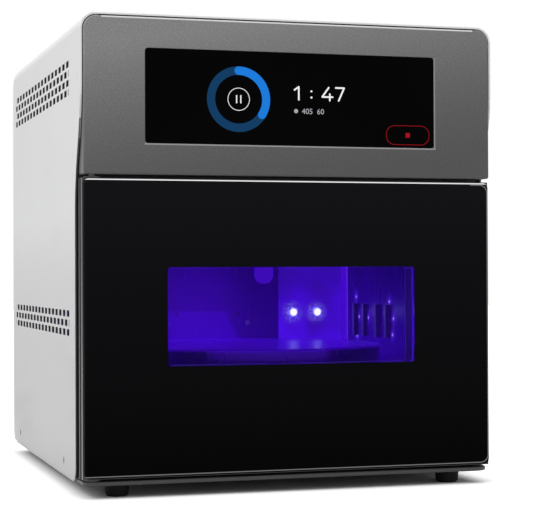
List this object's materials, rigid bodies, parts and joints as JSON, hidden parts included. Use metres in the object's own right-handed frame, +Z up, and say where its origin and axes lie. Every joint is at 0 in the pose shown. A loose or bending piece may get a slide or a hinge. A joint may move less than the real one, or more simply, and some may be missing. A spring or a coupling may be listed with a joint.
{
  "type": "uv curing chamber",
  "caption": "Bench-top light curing chamber with a sheet-metal casing, hinged glazed door, turntable, lamp boards, fans and a long display above the door.",
  "frame": {"origin": "centre of the footprint, on the surface that the feet stand on", "axes": "+Z up, front with door and display towards -Y, +X to the right seen from the front"},
  "size_m": [0.31, 0.34, 0.34],
  "materials": {
    "white_coat": "satin powder coat",
    "grey_coat": "matt fine textured coat",
    "dark_coat": "matt powder coat",
    "dark_plastic": "matt moulded",
    "gloss_black": "high gloss",
    "tinted_pane": "clear, tinted",
    "display_pane": "polished",
    "mirror_sheet": "polished reflector",
    "bare_aluminium": "brushed",
    "zinc_steel": "zinc plated",
    "screw_steel": "plain",
    "rubber_black": "matt",
    "seal_black": "matt",
    "board_green": "solder mask",
    "board_white": "white solder mask",
    "lens_violet": "clear moulded lens, lit",
    "brass": "turned",
    "nylon_white": "moulded",
    "magnet_nickel": "nickel plated",
    "platter_gloss": "polished"
  },
  "bodies": {
    "cabinet": {"wrap_cover": "white_coat", "base_pan": "white_coat", "base_trim": "dark_coat", "rubber_feet": "rubber_black", "foot_screws": "screw_steel", "cover_screws": "screw_steel", "rear_panel": "white_coat", "rear_screws": "screw_steel", "front_frame": "dark_coat", "door_seal": "seal_black", "strike_plates": "zinc_steel", "door_sensor": "dark_plastic", "control_panel": "grey_coat", "display_glass": "display_pane", "lcd_module": "dark_plastic", "display_bracket": "zinc_steel", "controller_board": "board_green", "display_ribbon": "nylon_white", "driver_board": "board_green", "board_standoffs": "brass", "chamber_liner": "mirror_sheet", "chamber_back": "mirror_sheet", "louvre_hoods": "mirror_sheet", "chamber_sensor": "nylon_white", "rear_led_board_left": "board_white", "rear_led_board_right": "board_white", "rear_led_lenses_left": "lens_violet", "rear_led_lenses_right": "lens_violet", "heat_sink_left": "bare_aluminium", "heat_sink_right": "bare_aluminium", "ceiling_led_board": "board_white", "ceiling_led_lenses": "lens_violet", "ceiling_heat_sink": "bare_aluminium", "shaft_bush": "brass", "turntable_motor": "zinc_steel", "chamber_fan_housing": "dark_plastic", "exhaust_fan_housing": "dark_plastic", "fan_screws": "screw_steel", "power_inlet": "dark_plastic", "inlet_pins": "brass", "rocker_frame": "dark_plastic", "power_supply": "bare_aluminium", "mains_lead": "rubber_black", "upper_hinge_bracket": "zinc_steel", "hinge_pins": "screw_steel"},
    "door": {"door_frame": "dark_plastic", "door_front": "gloss_black", "window_pane": "tinted_pane", "door_liner": "mirror_sheet", "door_magnets": "magnet_nickel", "sensor_magnet": "magnet_nickel", "door_bushes": "nylon_white", "door_screws": "screw_steel"},
    "turntable": {"platter": "platter_gloss", "platter_hub": "bare_aluminium", "drive_shaft": "screw_steel"},
    "chamber_fan": {"chamber_fan_rotor": "dark_plastic"},
    "exhaust_fan": {"exhaust_fan_rotor": "dark_plastic"},
    "rocker": {"power_rocker": "gloss_black"}
  },
  "joints": [
    {"name": "door_hinge", "type": "hinge", "parent": "cabinet", "child": "door", "pos_m": [-0.145, -0.1605, 0.119], "axis": [0, 0, -1], "range_deg": [0, 115]},
    {"name": "turntable_spin", "type": "hinge", "parent": "cabinet", "child": "turntable", "pos_m": [0, -0.035, 0.09], "axis": [0, 0, 1], "continuous": true},
    {"name": "chamber_fan_spin", "type": "hinge", "parent": "cabinet", "child": "chamber_fan", "pos_m": [0, 0.106, 0.15], "axis": [0, -1, 0], "continuous": true},
    {"name": "exhaust_fan_spin", "type": "hinge", "parent": "cabinet", "child": "exhaust_fan", "pos_m": [0, 0.1668, 0.222], "axis": [0, -1, 0], "continuous": true},
    {"name": "rocker_tilt", "type": "hinge", "parent": "cabinet", "child": "rocker", "pos_m": [-0.076, 0.1644, 0.062], "axis": [-1, 0, 0], "range_deg": [0, 14]}
  ]
}
